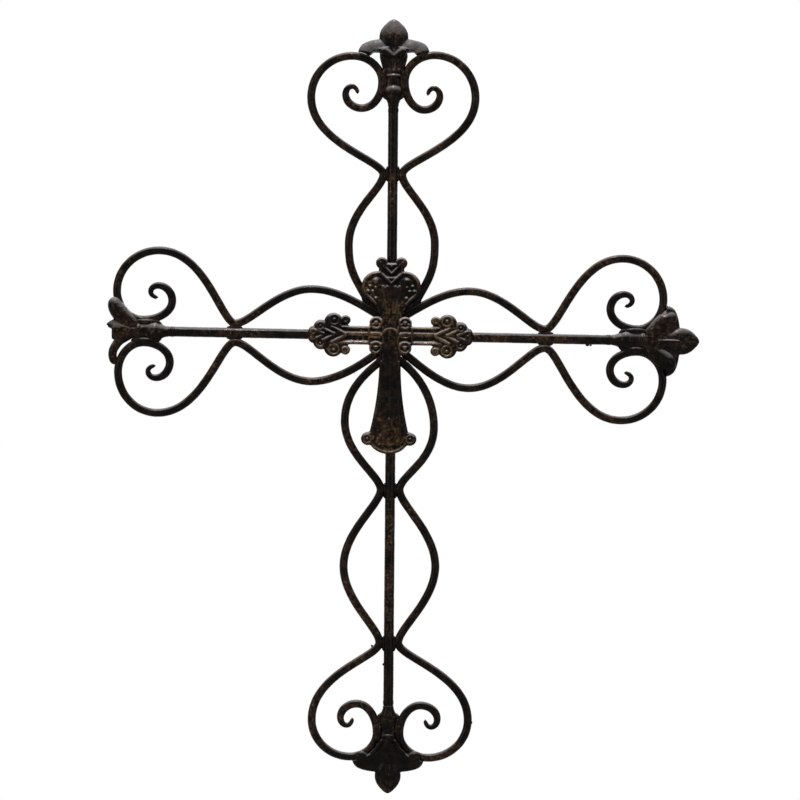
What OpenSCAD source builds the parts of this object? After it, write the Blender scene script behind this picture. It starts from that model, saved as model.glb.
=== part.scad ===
// Wrought iron wall cross: a round stem and crossbar, eight bent scroll rods in
// pairs along the arms, a lily cap on each arm's end and a cast cross over the middle.
// X runs to the viewer's right, Z up and Y into the wall, which is the plane Y = 0.
// The origin is where two nails, one on each side of the stem, carry the cross.
// Inside an arm's own frame, z runs outward from the crossing and x to one side.

/* [Bars] */
// Diameter of the stem and the crossbar
bar_d = 8; // [6:0.5:10]
// Diameter of the scroll rods
rod_d = 6.5; // [5:0.25:8]
// Gap left between pieces that touch at a weld
weld_gap = 0.15; // [0.05:0.05:0.3]
// Angle that the crossbar droops towards the viewer's right, degrees
droop = 0.6; // [-1:0.1:1]
// Distance from the wall to the bars' centre lines
wall_gap = 6.5; // [6.5:0.5:12]

/* [Hanging] */
// Distance from the top arm's waist down to the nails' centres
nail_drop = 11; // [10:0.5:15]

/* [Scroll bending jig] */
// Length of the straightened ends of a curve where it enters and leaves a waist
waist_pull = 11.5; // [9:0.5:15]
// Length that a lens runs on flat from its widest point towards a waist
lens_pull = 27; // [22:0.5:32]
// Distance from the waist out to the heart's widest point
heart_peak = 60.5; // [54:0.5:66]
// Half-width of a heart, to the rod's centre line
heart_half = 64; // [56:0.5:72]
// Distance from the waist out to the end of the heart's lobe
heart_reach = 93; // [86:0.5:100]
// Distance from the arm's axis to the end of the lobe
lobe_out = 32; // [28:0.5:36]
// Distance from the waist to where the lobe comes back onto the cap's neck
neck_touch = 72.5; // [68:0.5:76]
// Near end of the inner curl: distances out from the waist and from the arm's axis
curl_base = [51, 24]; // [18:0.5:60]
// Outer side of the inner curl, measured the same way
curl_side = [62, 36]; // [30:0.5:70]
// Far end of the inner curl, measured the same way
curl_top = [68, 31]; // [25:0.5:75]
// Drawn-out tip of the rod, measured the same way
curl_tip = [62, 26.5]; // [20:0.5:70]
// Radius of the drawn-out tip
tip_r = 1.1; // [0.8:0.1:2]

/* [Scroll roots] */
// Length of the straight lead-out of a rod from its root at the crossing
root_pull = 20; // [14:0.5:22]
// Flat run of a lens up to its widest point
lens_lead = 20; // [14:0.5:24]
// Angle from the crossbar at which the side arms' upper rods leave the crossing, degrees
upper_root_angle = 31.5; // [28:0.5:40]
// Height of those roots above a seat on the crossbar
upper_root_rise = 6; // [2:0.5:8]
// Angle from the crossbar at which the side arms' lower rods leave the crossing, degrees
lower_root_angle = 38.5; // [32:0.5:42]
// Distance of those roots below a seat on the crossbar
lower_root_rise = 3.5; // [2:0.5:8]
// Angle from the stem at which the top arm's rods leave their neighbours, degrees
top_root_angle = 29.5; // [25:0.5:40]
// Distance of those roots out from a seat on the stem
top_root_rise = 13; // [8:0.5:15]
// Angle from the stem at which the bottom arm's rods leave their neighbours, degrees
bottom_root_angle = 52; // [40:0.5:52]
// Distance of those roots out from a seat on the stem
bottom_root_rise = 2.5; // [0:0.5:3]

/* [Top arm] */
// Distance from the crossing to the waist
top_waist = 126.5; // [100:0.5:160]
// Distance from the crossing to the lens's widest point
top_lens_peak = 71.5; // [64:0.5:78]
// Half-widths of the lens, left and right
top_lens_half = [34, 33.5]; // [28:0.5:42]
// Left heart's own drift from the jig: wider, longer, curl out, curl along
top_left_drift = [0.5, 0, 1.5, 1]; // [-4:0.5:4]
// Right heart's own drift from the jig
top_right_drift = [0.5, 1, 0.5, 0]; // [-4:0.5:4]

/* [Bottom arm] */
// Distance from the crossing to the first waist
bottom_waist = 121; // [100:0.5:150]
// Distances from the crossing to the first lens's widest points, left and right
bottom_lens_peak = [67, 72]; // [60:0.5:78]
// Half-widths of the first lens, left and right
bottom_lens_half = [36, 34]; // [28:0.5:42]
// Distance between the two waists
foot_lens_len = 120; // [100:0.5:150]
// Half-width of the second lens, to both rods' centre lines
foot_lens_half = 36; // [28:0.5:42]
// Left heart's own drift from the jig
bottom_left_drift = [-4, -3.5, 1.5, -3]; // [-4:0.5:4]
// Right heart's own drift from the jig
bottom_right_drift = [-1.5, -3, 2.5, -2]; // [-4:0.5:4]

/* [Left arm] */
// Distance from the crossing to the waist
left_waist = 122.5; // [100:0.5:150]
// Distance from the crossing to the lens's widest point
left_lens_peak = 62.5; // [56:0.5:70]
// Half-widths of the lens, upper and lower
left_lens_half = [35.5, 37]; // [28:0.5:42]
// Upper heart's own drift from the jig
left_upper_drift = [-0.5, 0.5, 0, -1]; // [-4:0.5:4]
// Lower heart's own drift from the jig
left_lower_drift = [0, -1.5, 0.5, 0]; // [-4:0.5:4]

/* [Right arm] */
// Distance from the crossing to the waist
right_waist = 120.5; // [100:0.5:150]
// Distance from the crossing to the lens's widest point
right_lens_peak = 61; // [56:0.5:70]
// Half-widths of the lens, upper and lower
right_lens_half = [36, 40]; // [28:0.5:42]
// Upper heart's own drift from the jig
right_upper_drift = [0, -0.5, 0, 0]; // [-4:0.5:4]
// Lower heart's own drift from the jig
right_lower_drift = [-1, 0, -1, 0.5]; // [-4:0.5:4]

/* [Caps] */
// Radius of the neck's rings, which the hearts lie against
neck_r = 5.5; // [5:0.25:7]
// Radius of the neck's grooves
groove_r = 4.8; // [4.5:0.1:5.5]
// Length of the cap below the lobes' ends, down to its cuff
cap_tail = 40; // [36:0.5:44]
// Length of the cap beyond the lobes' ends, to the tip of its middle petal
cap_nose = 28.5; // [24:0.5:34]
// Width of the middle petal
petal_w = 22.8; // [18:0.2:26]
// Depth of the middle petal
petal_t = 8; // [6:0.5:10]
// Width of the body that the petals spring from
body_w = 22.6; // [18:0.2:26]
// Depth of that body
body_t = 12.5; // [10:0.5:13.5]
// Height of the side petals' backs above the lobes' ends
wing_rise = 12.5; // [10:0.5:15]
// Height of the side petals' undersides, beside the body, above the hearts' outer edge
wing_foot = -2; // [-2.5:0.1:-1]
// The left cap's own side petals: height of their backs, of their undersides, dip at the axis
left_wing = [9.5, -3.8, 5]; // [-4:0.1:12]
// Distance from the arm's axis to the side petals' tips
wing_out = 28; // [24:0.5:30]
// Depth of the side petals
wing_t = 11; // [8:0.5:13]
// Length of the left cap's broken middle petal beyond the lobes' ends
stub_nose = 8.7; // [7:0.1:12]
// Distance of the broken edge's middle above the arm's axis
stub_up = 6; // [0:0.5:8]

/* [Plaque] */
// Thickness of the plaque's plate
plate_t = 3.2; // [2.5:0.1:4.5]
// Height of the raised ribs and bosses above the plate
relief_t = 1.6; // [1:0.1:2.5]
// Distance that the plaque sits to the viewer's left of the stem's axis
plaque_left = 0.7; // [0:0.1:2]
// Angle that the plaque is turned clockwise, degrees
plaque_turn = 0.5; // [-1:0.1:1]
// Half-width of the shanks of the plaque's arms
shank_half = 7.25; // [5:0.25:9]
// Distance from the middle to the leafy ends' tips
leaf_reach = 64.5; // [60:0.5:70]
// Height of the head's two lobes above the middle
head_reach = 50.5; // [46:0.5:56]
// Half-width of the heart-shaped head
head_half = 23.3; // [20:0.5:26]
// Distance from the middle down to the foot's lower edge
foot_reach = 93; // [84:0.5:100]
// Half-width of the foot, over its two bosses
foot_half = 22; // [19:0.5:25]

/* [Hidden] */

$fn = 48;
iron = [0.13, 0.11, 0.09];
bar_r = bar_d / 2;
rod_r = rod_d / 2;
waist_out = bar_r + rod_r + weld_gap;
neck_out = neck_r + rod_r + weld_gap;
HEART_LEAD = 36.5;  // flat lead into a heart's widest point
ROUND = 0.5523;     // handle length that makes a Bezier span a quarter ellipse
SIDES = 8;          // sides of a scroll rod
ARM_TOP = 0;
ARM_RIGHT = 90 + droop;
ARM_BOTTOM = 180;
ARM_LEFT = 270 + droop;
shank_top = 8.4;     // half-width of the plaque's upright at the middle
nail_up = top_waist - nail_drop;
second_waist = bottom_waist + foot_lens_len;
// Level of each cap above the crossing: the mean of its two lobes' ends
top_end = top_waist + heart_reach + (top_left_drift[1] + top_right_drift[1]) / 2;
bottom_end = second_waist + heart_reach + (bottom_left_drift[1] + bottom_right_drift[1]) / 2;
left_end = left_waist + heart_reach + (left_upper_drift[1] + left_lower_drift[1]) / 2;
right_end = right_waist + heart_reach + (right_upper_drift[1] + right_lower_drift[1]) / 2;

// ---- Curves in an arm's plane, as [x, z] points ----

function bezier(a, b, c, d, n) =
    [for (i = [0:n-1]) let (t = i / n, s = 1 - t)
        s*s*s*a + 3*s*s*t*b + 3*s*t*t*c + t*t*t*d];

// An S from a to b that leaves and arrives along the arm
function sway(a, b, pull_a, pull_b, n) = bezier(a, a + [0, pull_a], b - [0, pull_b], b, n);

// A quarter of an ellipse from a to b; the turn starts along the arm or across it
function quarter(a, b, starts_along, n) =
    let (dx = [(b - a)[0] * ROUND, 0], dz = [0, (b - a)[1] * ROUND])
    starts_along ? bezier(a, a + dz, b - dx, b, n) : bezier(a, a + dx, b - dz, b, n);

// The heart and curl beyond a waist at height w, with a rod's own drift from the jig
function heart_line(w, drift) =
    let (wider = drift[0], longer = drift[1], curl = [drift[2], drift[3]],
         waist = [waist_out, w],
         peak = [heart_half + wider, w + heart_peak],
         lobe = [lobe_out + wider / 2, w + heart_reach + longer],
         neck = [neck_out, w + neck_touch + longer / 2],
         base = [curl_base[1] + curl[0] / 2, w + curl_base[0] + curl[1]],
         side = [curl_side[1], w + curl_side[0]] + curl,
         top = [curl_top[1], w + curl_top[0]] + curl,
         tip = [curl_tip[1], w + curl_tip[0]] + curl)
    concat(sway(waist, peak, waist_pull, HEART_LEAD, 8),
           quarter(peak, lobe, true, 5),
           quarter(lobe, neck, false, 5),
           quarter(neck, base, true, 4),
           quarter(base, side, false, 4),
           quarter(side, top, true, 3),
           quarter(top, tip, false, 3),
           [tip]);

// A rod's seat at the crossing: where the edge of its end just clears a bar of the cross
function seat(lean) = bar_r + weld_gap + rod_r * lean;

// Root of a side arm's rod, in its arm's frame, leaving at an angle from the arm
function side_root(angle, rise) = [seat(cos(angle)) + rise, seat(sin(angle))];

// Root of an upright arm's rod: its end lies against the neighbouring side arm's rod, which
// starts from a root of its own; skew is how far the corner between the arms is from square
function upright_root(angle, rise, side_angle, side_rise, skew) =
    let (line = side_angle - skew,
         from = side_root(side_angle, side_rise),
         near = [from[1] * cos(skew) + from[0] * sin(skew), from[0] * cos(skew) - from[1] * sin(skew)],
         out = seat(cos(angle)) + rise,
         clear = rod_r + weld_gap + rod_r * sin(line + angle))
    [out, near[1] + (out - near[0]) * tan(line) + clear / cos(line)];

// The lens between the crossing and the first waist at height w, widest at height reach
function lens_line(w, reach, half, root, angle) =
    let (peak = [half, reach], out = [sin(angle), cos(angle)])
    concat(bezier(root, root + out * root_pull, peak - [0, lens_lead], peak, 6),
           sway(peak, [waist_out, w], lens_pull, waist_pull, 7));

// The second lens of the bottom arm, between its two waists
function foot_lens_line(w, len, half) =
    concat(sway([waist_out, w], [half, w + len / 2], waist_pull, lens_pull, 7),
           sway([half, w + len / 2], [waist_out, w + len], lens_pull, waist_pull, 7));

// ---- Solids ----

// A closed skin over rings of points that all have the same count
module skin(rings) {
    n = len(rings[0]);
    m = len(rings);
    walls = [for (i = [0:m-2]) for (j = [0:n-1])
        let (k = (j + 1) % n)
        each [[i*n + j, (i+1)*n + k, i*n + k], [i*n + j, (i+1)*n + j, (i+1)*n + k]]];
    polyhedron(points = [for (ring = rings) each ring],
               faces = concat([[for (j = [0:n-1]) j]], walls, [[for (j = [n-1:-1:0]) (m-1)*n + j]]));
}

// A rod along a line in the arm's plane, drawn out to a thin tip over its last rings
module rod(line) {
    last = len(line) - 1;
    taper = 7;
    skin([for (i = [0:last])
        let (ahead = line[min(i + 1, last)] - line[max(i - 1, 0)],
             side = [ahead[1], -ahead[0]] / norm(ahead),
             left = (last - i) / taper,
             r = left >= 1 ? rod_r : tip_r + (rod_r - tip_r) * pow(left, 0.7))
        [for (j = [0:SIDES-1]) let (a = 360 * j / SIDES)
            [line[i][0] + side[0] * r * cos(a), r * sin(a), line[i][1] + side[1] * r * cos(a)]]]);
}

// Puts a shape from an arm's frame in its place; flip draws it on the arm's other side
module on_arm(angle, flip = false) {
    translate([0, -wall_gap, -nail_up]) rotate([0, angle, 0]) mirror([flip ? 1 : 0, 0, 0]) children();
}

module scroll(arm, flip, w, reach, half, root, angle, drift) {
    color(iron) on_arm(arm, flip)
        rod(concat(lens_line(w, reach, half, root, angle), heart_line(w, drift)));
}

module top_scroll(flip, half, skew, drift) {
    scroll(ARM_TOP, flip, top_waist, top_lens_peak, half,
           upright_root(top_root_angle, top_root_rise, upper_root_angle, upper_root_rise, skew),
           top_root_angle, drift);
}

// The bottom arm's rods run on through a second lens before their hearts
module bottom_scroll(flip, reach, half, skew, drift) {
    root = upright_root(bottom_root_angle, bottom_root_rise, lower_root_angle, lower_root_rise, skew);
    color(iron) on_arm(ARM_BOTTOM, flip)
        rod(concat(lens_line(bottom_waist, reach, half, root, bottom_root_angle),
                   foot_lens_line(bottom_waist, foot_lens_len, foot_lens_half),
                   heart_line(second_waist, drift)));
}

module upper_scroll(arm, flip, w, reach, half, drift) {
    root = side_root(upper_root_angle, upper_root_rise);
    scroll(arm, flip, w, reach, half, root, upper_root_angle, drift);
}

module lower_scroll(arm, flip, w, reach, half, drift) {
    root = side_root(lower_root_angle, lower_root_rise);
    scroll(arm, flip, w, reach, half, root, lower_root_angle, drift);
}

module scroll_top_left() {
    top_scroll(true, top_lens_half[0], -droop, top_left_drift);
}

module scroll_top_right() {
    top_scroll(false, top_lens_half[1], droop, top_right_drift);
}

module scroll_bottom_left() {
    bottom_scroll(false, bottom_lens_peak[0], bottom_lens_half[0], droop, bottom_left_drift);
}

module scroll_bottom_right() {
    bottom_scroll(true, bottom_lens_peak[1], bottom_lens_half[1], -droop, bottom_right_drift);
}

module scroll_left_upper() {
    upper_scroll(ARM_LEFT, false, left_waist, left_lens_peak, left_lens_half[0], left_upper_drift);
}

module scroll_left_lower() {
    lower_scroll(ARM_LEFT, true, left_waist, left_lens_peak, left_lens_half[1], left_lower_drift);
}

module scroll_right_upper() {
    upper_scroll(ARM_RIGHT, true, right_waist, right_lens_peak, right_lens_half[0], right_upper_drift);
}

module scroll_right_lower() {
    lower_scroll(ARM_RIGHT, false, right_waist, right_lens_peak, right_lens_half[1], right_lower_drift);
}

// The stem ends face to face on the cuffs of the top and bottom caps
module stem() {
    low = bottom_end - cap_tail;
    color(iron) on_arm(ARM_TOP)
        translate([0, 0, -low]) cylinder(h = low + top_end - cap_tail, r = bar_r);
}

// One half of the crossbar, coped to sit round the stem
module crossbar_half(angle, end) {
    color(iron) difference() {
        on_arm(angle) cylinder(h = end - cap_tail, r = bar_r);
        on_arm(ARM_TOP)
            translate([0, 0, -2 * bar_d]) cylinder(h = 4 * bar_d, r = bar_r + weld_gap);
    }
}

module crossbar_left() {
    crossbar_half(ARM_LEFT, left_end);
}

module crossbar_right() {
    crossbar_half(ARM_RIGHT, right_end);
}

// ---- Caps; z = 0 is the level of the lobes' ends ----

// The turned neck: cuff, bulb, two rings and the grooves between them
module neck() {
    cuff_r = bar_r + 0.3;
    rotate_extrude()
        polygon([[0, -cap_tail], [cuff_r, -cap_tail], [cuff_r, 3 - cap_tail], [neck_r + 0.6, 7 - cap_tail],
                 [neck_r + 0.7, 9 - cap_tail], [neck_r, -26.5], [groove_r, -24], [neck_r - 0.2, -22.5],
                 [neck_r - 0.2, -20.7], [groove_r, -19.5], [groove_r, -17], [neck_r, -15], [neck_r, -13],
                 [0, -11]]);
}

function oval(w, t, n) = [for (j = [0:n-1]) let (a = 360 * j / n) [w / 2 * cos(a), t / 2 * sin(a)]];

// The body and the middle petal in one, or the body and the broken stub of a petal:
// each ring is its height, its width and its depth
module body_and_petal(broken) {
    body = [[-14, 2 * neck_r - 1.2, 2 * neck_r - 1.2], [-11, 2 * neck_r + 2.5, 2 * neck_r],
            [-7.5, body_w * 0.8, body_t - 1], [-3.5, body_w, body_t], [1, body_w - 1, body_t - 1],
            [5, body_w - 4.6, petal_t + 1.5]];
    petal = [[9.5, petal_w - 1.5, petal_t], [cap_nose - 14, petal_w, petal_t],
             [cap_nose - 9, petal_w - 2.5, petal_t - 0.5], [cap_nose - 4, petal_w * 0.6, petal_t - 2.5],
             [cap_nose - 1, 6.5, 3], [cap_nose, 2, 1.5]];
    stub = [[stub_nose, petal_w * 0.6, petal_t - 1]];
    skin([for (s = concat(body, broken ? stub : petal))
        let (off = s[0] == stub_nose ? stub_up : 0)
        [for (p = oval(s[1], s[2], 12)) [p[0] + off, p[1], s[0]]]]);
}

// A side petal: a broad lobe that leaves the body, arches over and rests on a scroll's lobe;
// shape is the height of its back, the height of its underside and the back's dip at the axis
module wing(lobe_level, shape) {
    inner = 1.5;
    rest = lobe_level + rod_r + weld_gap;
    tip = rest + 0.8;
    steps = 8;
    skin([for (i = [0:steps])
        let (f = i / steps,
             top = tip + (shape[0] - tip) * sqrt(1 - pow(f, 3)) - shape[2] * (1 - f) * (1 - f),
             foot = rod_r + shape[1],
             under = foot + (rest - foot) * f * f,
             deep = wing_t / 2 * sqrt(1 - 0.75 * f * f))
        [for (p = oval(2 * deep, top - under, 8))
            [inner + (wing_out - inner) * f, p[0], (top + under) / 2 + p[1]]]]);
}

// A whole cap: lobe levels are those of its two hearts, on the x side and the other side
module cap(angle, end, lobe_x, lobe_other, broken = false) {
    shape = broken ? left_wing : [wing_rise, wing_foot, 0];
    color(iron) on_arm(angle) translate([0, 0, end]) {
        neck();
        body_and_petal(broken);
        wing(lobe_x - end, shape);
        mirror([1, 0, 0]) wing(lobe_other - end, shape);
    }
}

module cap_top() {
    base = top_waist + heart_reach;
    cap(ARM_TOP, top_end, base + top_right_drift[1], base + top_left_drift[1]);
}

module cap_bottom() {
    base = second_waist + heart_reach;
    cap(ARM_BOTTOM, bottom_end, base + bottom_left_drift[1], base + bottom_right_drift[1]);
}

module cap_right() {
    base = right_waist + heart_reach;
    cap(ARM_RIGHT, right_end, base + right_lower_drift[1], base + right_upper_drift[1]);
}

module cap_left() {
    base = left_waist + heart_reach;
    cap(ARM_LEFT, left_end, base + left_upper_drift[1], base + left_lower_drift[1], true);
}

// ---- Plaque, built flat: x to the right, y up the stem, z towards the viewer ----

module both_sides() {
    children();
    mirror([1, 0, 0]) children();
}

module up_and_down() {
    children();
    mirror([0, 1, 0]) children();
}

// A round of the plate
module disc(x, y, r) {
    translate([x, y, 0]) cylinder(h = plate_t, r = r);
}

// A straight piece of the plate, symmetrical about the stem, from its right-hand side
module slab(side) {
    linear_extrude(plate_t)
        polygon(concat(side, [for (i = [len(side)-1:-1:0]) [-side[i][0], side[i][1]]]));
}

// A low dome of radius r and height h on the plate's face
module dome(x, y, r, h) {
    ball = (r * r + h * h) / (2 * h);
    translate([x, y, plate_t]) intersection() {
        translate([0, 0, h - ball]) sphere(ball);
        translate([0, 0, -plate_t / 2]) cylinder(h = plate_t, r = r + 0.5);
    }
}

// A domed boss inside a raised ring
module ringed_boss(x, y, r) {
    translate([x, y, 0]) rotate_extrude()
        polygon([[0, 1], [r, 1], [r, plate_t + relief_t - 0.3], [r - 0.4, plate_t + relief_t],
                 [r - 1.1, plate_t + relief_t], [r - 1.5, plate_t + 0.3], [r * 0.52, plate_t + 0.3],
                 [r * 0.4, plate_t + relief_t], [r * 0.2, plate_t + relief_t + 0.4],
                 [0, plate_t + relief_t + 0.5]]);
}

// A rounded rib along the plate's face
module rib(from, to, r) {
    run = to - from;
    translate([from[0], from[1], plate_t - r * 0.4])
        rotate([0, 0, atan2(run[1], run[0])]) rotate([0, 90, 0]) cylinder(h = norm(run), r = r);
}

// The heart-shaped head with its two-lobed tab, on the shank that comes up from the middle
module head() {
    lobe_r = 12.3;
    tab_r = 4.7;
    groove_y = head_reach - 11;
    both_sides() {
        disc(head_half - lobe_r, head_reach - lobe_r, lobe_r);
        dome(head_half - lobe_r, head_reach - lobe_r, lobe_r - 2.5, relief_t);
        disc(7.7, head_reach + 6.4, tab_r);
        rib([1, groove_y], [9, head_reach - 3], relief_t * 0.8);
        dome(7.7, head_reach + 6.4, tab_r - 1.2, relief_t);
    }
    slab([[8, head_reach + 9.5], [10, head_reach + 5], [10, head_reach - 8],
          [head_half - 2, head_reach - 17], [shank_top, 16], [shank_top, 3]]);
    rib([0, 12], [0, groove_y], relief_t * 0.9);
}

// A leafy end of the right arm: scallops that shrink towards the tip, each with its boss
module leaf() {
    up_and_down() {
        for (s = [[29.2, 11.7, 3.9], [19.8, 9.8, 7.5], [10, 5.8, 6], [4.3, 2.6, 4.3]]) {
            disc(leaf_reach - s[0], s[1], s[2]);
            dome(leaf_reach - s[0], s[1] + 0.3, s[2] * 0.62, relief_t * 0.9);
        }
        rib([leaf_reach - 28, 2.5], [leaf_reach - 18, 6.5], relief_t * 0.6);
        rib([leaf_reach - 16, 1.2], [leaf_reach - 9, 4], relief_t * 0.5);
    }
    translate([leaf_reach - 31, -11, 0]) cube([21, 22, plate_t]);
}

// The foot: its sides spread in a curve down to two bosses over a rounded lower edge
module foot() {
    spread_from = 20;
    spread_to = foot_reach - 18;
    boss_r = 4.5;
    slab(concat([[shank_top, -3]],
                [for (i = [0:6]) let (t = i / 6)
                    [shank_top + (foot_half - 7 - shank_top) * t * t,
                     -spread_from - (spread_to - spread_from) * t]],
                [for (i = [1:4]) let (turn = 75 * i / 4)
                    [(foot_half - 4) * cos(turn),
                     -spread_to - 3 - (foot_reach - spread_to - 3) * sin(turn) / sin(75)]]));
    both_sides() {
        disc(foot_half - boss_r, -foot_reach + 12.5, boss_r);
        dome(foot_half - boss_r, -foot_reach + 12.5, boss_r - 1, relief_t);
    }
    rib([0, -12], [0, -foot_reach + 22], relief_t * 0.9);
}

// The block over the crossing, with a ringed boss in each corner and an arch between them
module middle() {
    slab([[16, 12], [16, -12]]);
    both_sides() up_and_down() ringed_boss(11.4, 9.7, 5);
    ringed_boss(0, 0, 6);
}

module plaque() {
    color(iron) translate([-plaque_left, -wall_gap - bar_r - weld_gap, -nail_up])
    rotate([0, plaque_turn, 0]) rotate([90, 0, 0]) {
        head();
        foot();
        middle();
        both_sides() {
            leaf();
            translate([12, -shank_half, 0]) cube([leaf_reach - 40, 2 * shank_half, plate_t]);
            rib([7, 0], [leaf_reach - 26, 0], relief_t * 0.7);
            up_and_down()
                rib([17, shank_half - 1.2], [leaf_reach - 30, shank_half - 1.2], relief_t * 0.5);
        }
    }
}

stem();
crossbar_left();
crossbar_right();
scroll_top_left();
scroll_top_right();
scroll_bottom_left();
scroll_bottom_right();
scroll_left_upper();
scroll_left_lower();
scroll_right_upper();
scroll_right_lower();
cap_top();
cap_bottom();
cap_left();
cap_right();
plaque();
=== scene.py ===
# A wrought iron wall cross, in the order that a smith puts it together: the upright and the
# crossbar, eight bent scroll rods, four cast lily caps, the cast cross over the crossing and the
# welds that hold it all, then the floor, the lamps and the camera.
import math

import bpy
import numpy as np
from mathutils import Matrix, Vector, noise


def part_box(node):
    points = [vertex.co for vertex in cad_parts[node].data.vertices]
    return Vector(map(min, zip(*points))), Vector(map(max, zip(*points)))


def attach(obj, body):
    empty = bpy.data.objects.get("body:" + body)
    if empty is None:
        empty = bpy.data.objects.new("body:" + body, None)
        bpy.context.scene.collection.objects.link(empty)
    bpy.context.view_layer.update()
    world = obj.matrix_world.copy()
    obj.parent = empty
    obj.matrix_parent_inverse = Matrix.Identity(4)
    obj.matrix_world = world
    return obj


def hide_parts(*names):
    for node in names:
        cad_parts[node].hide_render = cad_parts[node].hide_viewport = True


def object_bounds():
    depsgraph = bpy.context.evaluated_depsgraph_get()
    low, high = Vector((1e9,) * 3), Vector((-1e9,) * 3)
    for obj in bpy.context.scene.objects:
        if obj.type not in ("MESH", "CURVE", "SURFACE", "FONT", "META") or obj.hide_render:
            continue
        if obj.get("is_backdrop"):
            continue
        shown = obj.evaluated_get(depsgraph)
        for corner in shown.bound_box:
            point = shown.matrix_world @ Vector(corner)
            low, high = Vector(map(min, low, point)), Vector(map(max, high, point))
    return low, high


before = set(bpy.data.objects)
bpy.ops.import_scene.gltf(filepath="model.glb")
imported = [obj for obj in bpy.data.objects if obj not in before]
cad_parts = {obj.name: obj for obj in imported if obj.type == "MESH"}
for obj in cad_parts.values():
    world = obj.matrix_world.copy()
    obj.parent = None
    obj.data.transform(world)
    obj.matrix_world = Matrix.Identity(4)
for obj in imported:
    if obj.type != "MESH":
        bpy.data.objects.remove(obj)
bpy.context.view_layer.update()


# ---- Upright and crossbar: round bar as it leaves the rolling mill ----
# The upright is one length of 8 mm round bar, and the crossbar two lengths butted against it.
# They run from cuff to cuff of the caps, with the slight waviness that forging leaves.

MM = 0.001


def linear(code):
    parts = [int(code[i:i + 2], 16) / 255 for i in (1, 3, 5)]
    return [p / 12.92 if p <= 0.04045 else ((p + 0.055) / 1.055) ** 2.4 for p in parts] + [1]


def add_node(tree, kind, sockets=None, **settings):
    node = tree.nodes.new(kind)
    for key, value in settings.items():
        setattr(node, key, value)
    for key, value in (sockets or {}).items():
        if isinstance(value, bpy.types.NodeSocket):
            tree.links.new(value, node.inputs[key])
        else:
            node.inputs[key].default_value = value
    return node


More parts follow.
